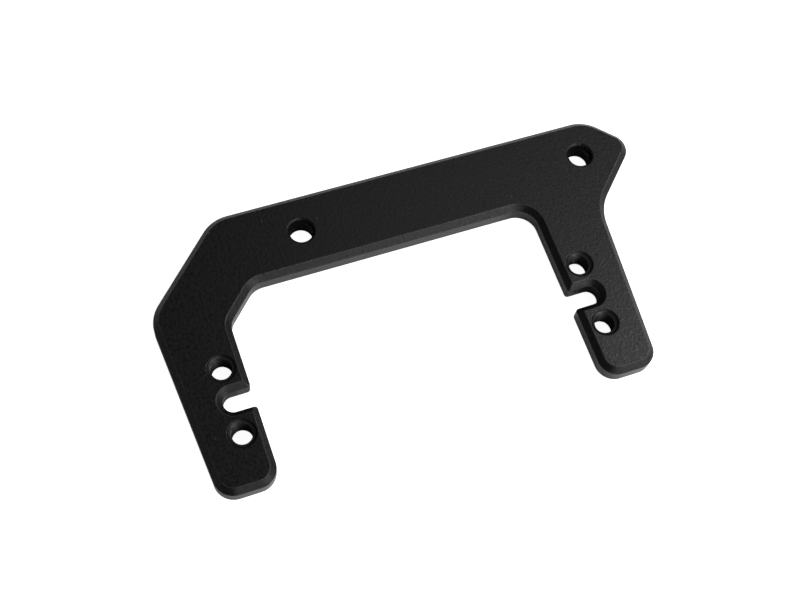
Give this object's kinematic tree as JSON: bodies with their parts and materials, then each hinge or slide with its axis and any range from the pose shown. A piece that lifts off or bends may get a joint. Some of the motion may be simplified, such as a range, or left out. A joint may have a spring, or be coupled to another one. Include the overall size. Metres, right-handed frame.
{
  "type": "servo bracket",
  "caption": "Flat black aluminium bracket whose arms straddle a servo and take its ear screws, with a beam that screws to a frame, bevelled rims and a pointed end.",
  "frame": {"origin": "middle of the servo screw pattern, halfway through the plate", "axes": "+X along the beam towards its pointed end, +Y from the arm ends to the beam, +Z out of the front face"},
  "size_m": [0.0701, 0.0372, 0.0034],
  "materials": {
    "black_anodised": "bead-blasted, black anodised"
  },
  "bodies": {
    "root": {"servo_bracket": "black_anodised"}
  },
  "joints": []
}
